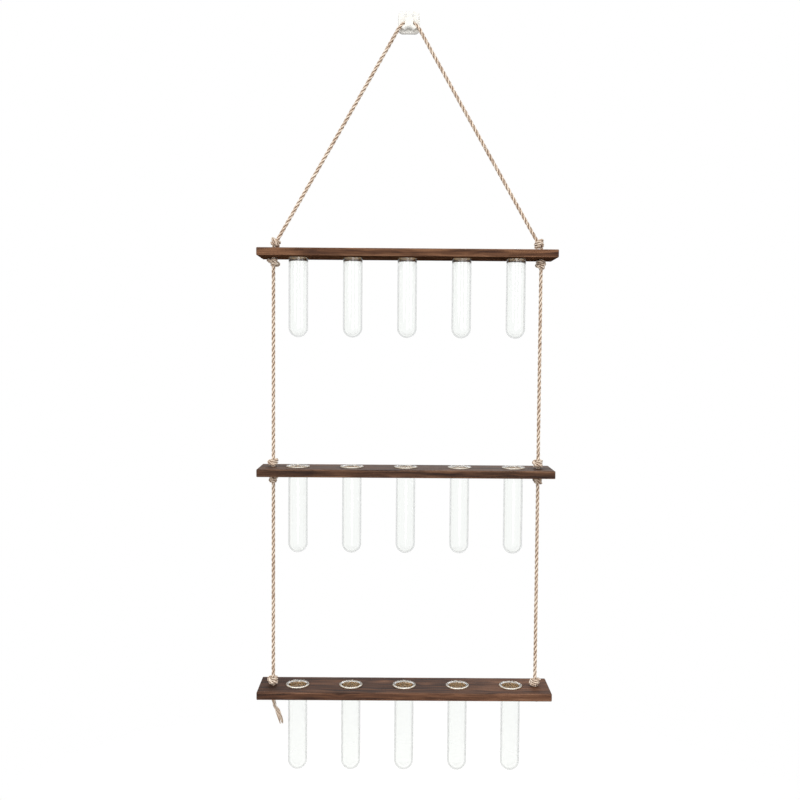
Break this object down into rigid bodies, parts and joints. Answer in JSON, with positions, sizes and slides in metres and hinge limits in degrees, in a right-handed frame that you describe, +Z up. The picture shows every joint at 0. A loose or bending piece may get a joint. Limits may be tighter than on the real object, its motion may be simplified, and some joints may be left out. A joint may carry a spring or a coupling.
{
  "type": "hanging propagation station",
  "caption": "Wall-hung rope sling with tiers of dark wooden shelves that hold round-bottomed glass tubes for rooting cuttings.",
  "frame": {"origin": "middle of the nail circle, on the back face of the wall hook", "axes": "+Z up, +Y into the wall, +X to the viewer's right; the wall is the plane Y = 0"},
  "size_m": [0.38, 0.073, 0.9915],
  "materials": {
    "stained_wood": "dark walnut stain, matt, worn light on the edges",
    "jute_rope": "three-strand twisted jute, dry and slightly hairy",
    "clear_glass": "clear, thin, fire-polished rim",
    "white_plastic": "white, moulded, half gloss",
    "nail_steel": "plated, bright"
  },
  "bodies": {
    "wall_mount": {"wall_hook": "white_plastic", "hook_nails": "nail_steel"},
    "top_tier": {"sling_rope": "jute_rope", "top_shelf": "stained_wood", "top_upper_knot_left": "jute_rope", "top_lower_knot_left": "jute_rope", "top_upper_knot_right": "jute_rope", "top_lower_knot_right": "jute_rope"},
    "middle_rope_left": {"middle_rope_left": "jute_rope"},
    "middle_rope_right": {"middle_rope_right": "jute_rope"},
    "middle_tier": {"middle_shelf": "stained_wood", "middle_upper_knot_left": "jute_rope", "middle_lower_knot_left": "jute_rope", "middle_upper_knot_right": "jute_rope", "middle_lower_knot_right": "jute_rope"},
    "bottom_rope_left": {"bottom_rope_left": "jute_rope"},
    "bottom_rope_right": {"bottom_rope_right": "jute_rope"},
    "bottom_tier": {"bottom_shelf": "stained_wood", "bottom_upper_knot_left": "jute_rope", "bottom_lower_knot_left": "jute_rope", "bottom_upper_knot_right": "jute_rope", "bottom_lower_knot_right": "jute_rope", "loose_end": "jute_rope"},
    "top_tube_1": {"top_tube_1": "clear_glass"},
    "top_tube_2": {"top_tube_2": "clear_glass"},
    "top_tube_3": {"top_tube_3": "clear_glass"},
    "top_tube_4": {"top_tube_4": "clear_glass"},
    "top_tube_5": {"top_tube_5": "clear_glass"},
    "middle_tube_1": {"middle_tube_1": "clear_glass"},
    "middle_tube_2": {"middle_tube_2": "clear_glass"},
    "middle_tube_3": {"middle_tube_3": "clear_glass"},
    "middle_tube_4": {"middle_tube_4": "clear_glass"},
    "middle_tube_5": {"middle_tube_5": "clear_glass"},
    "bottom_tube_1": {"bottom_tube_1": "clear_glass"},
    "bottom_tube_2": {"bottom_tube_2": "clear_glass"},
    "bottom_tube_3": {"bottom_tube_3": "clear_glass"},
    "bottom_tube_4": {"bottom_tube_4": "clear_glass"},
    "bottom_tube_5": {"bottom_tube_5": "clear_glass"}
  },
  "joints": [
    {"name": "sling_swing", "type": "hinge", "parent": "wall_mount", "child": "top_tier", "pos_m": [0, -0.0085, -0.0219], "axis": [0, 1, 0], "range_deg": [-12, 12]},
    {"name": "middle_sway", "type": "hinge", "parent": "top_tier", "child": "middle_rope_left", "pos_m": [-0.172, -0.031, -0.32476], "axis": [0, 1, 0], "range_deg": [-7, 7]},
    {"name": "middle_sway_right", "type": "hinge", "parent": "top_tier", "child": "middle_rope_right", "pos_m": [0.172, -0.031, -0.32476], "axis": [0, 1, 0], "range_deg": [-7, 7]},
    {"name": "middle_level", "type": "hinge", "parent": "middle_rope_left", "child": "middle_tier", "pos_m": [-0.172, -0.031, -0.57124], "axis": [0, 1, 0], "range_deg": [-7, 7]},
    {"name": "bottom_sway", "type": "hinge", "parent": "middle_tier", "child": "bottom_rope_left", "pos_m": [-0.172, -0.031, -0.60476], "axis": [0, 1, 0], "range_deg": [-7, 7]},
    {"name": "bottom_sway_right", "type": "hinge", "parent": "middle_tier", "child": "bottom_rope_right", "pos_m": [0.172, -0.031, -0.60476], "axis": [0, 1, 0], "range_deg": [-7, 7]},
    {"name": "bottom_level", "type": "hinge", "parent": "bottom_rope_left", "child": "bottom_tier", "pos_m": [-0.172, -0.031, -0.85924], "axis": [0, 1, 0], "range_deg": [-7, 7]},
    {"name": "top_tube_1_lift", "type": "slide", "parent": "top_tier", "child": "top_tube_1", "axis": [0, 0, 1], "range_m": [0, 0.025]},
    {"name": "top_tube_2_lift", "type": "slide", "parent": "top_tier", "child": "top_tube_2", "axis": [0, 0, 1], "range_m": [0, 0.115]},
    {"name": "top_tube_3_lift", "type": "slide", "parent": "top_tier", "child": "top_tube_3", "axis": [0, 0, 1], "range_m": [0, 0.115]},
    {"name": "top_tube_4_lift", "type": "slide", "parent": "top_tier", "child": "top_tube_4", "axis": [0, 0, 1], "range_m": [0, 0.115]},
    {"name": "top_tube_5_lift", "type": "slide", "parent": "top_tier", "child": "top_tube_5", "axis": [0, 0, 1], "range_m": [0, 0.025]},
    {"name": "middle_tube_1_lift", "type": "slide", "parent": "middle_tier", "child": "middle_tube_1", "axis": [0, 0, 1], "range_m": [0, 0.115]},
    {"name": "middle_tube_2_lift", "type": "slide", "parent": "middle_tier", "child": "middle_tube_2", "axis": [0, 0, 1], "range_m": [0, 0.115]},
    {"name": "middle_tube_3_lift", "type": "slide", "parent": "middle_tier", "child": "middle_tube_3", "axis": [0, 0, 1], "range_m": [0, 0.115]},
    {"name": "middle_tube_4_lift", "type": "slide", "parent": "middle_tier", "child": "middle_tube_4", "axis": [0, 0, 1], "range_m": [0, 0.115]},
    {"name": "middle_tube_5_lift", "type": "slide", "parent": "middle_tier", "child": "middle_tube_5", "axis": [0, 0, 1], "range_m": [0, 0.115]},
    {"name": "bottom_tube_1_lift", "type": "slide", "parent": "bottom_tier", "child": "bottom_tube_1", "axis": [0, 0, 1], "range_m": [0, 0.115]},
    {"name": "bottom_tube_2_lift", "type": "slide", "parent": "bottom_tier", "child": "bottom_tube_2", "axis": [0, 0, 1], "range_m": [0, 0.115]},
    {"name": "bottom_tube_3_lift", "type": "slide", "parent": "bottom_tier", "child": "bottom_tube_3", "axis": [0, 0, 1], "range_m": [0, 0.115]},
    {"name": "bottom_tube_4_lift", "type": "slide", "parent": "bottom_tier", "child": "bottom_tube_4", "axis": [0, 0, 1], "range_m": [0, 0.115]},
    {"name": "bottom_tube_5_lift", "type": "slide", "parent": "bottom_tier", "child": "bottom_tube_5", "axis": [0, 0, 1], "range_m": [0, 0.115]}
  ],
  "couplings": [
    {"joint": "middle_sway_right", "follows": "middle_sway", "ratio": 1},
    {"joint": "middle_level", "follows": "middle_sway", "ratio": -1},
    {"joint": "bottom_sway_right", "follows": "bottom_sway", "ratio": 1},
    {"joint": "bottom_level", "follows": "bottom_sway", "ratio": -1}
  ]
}
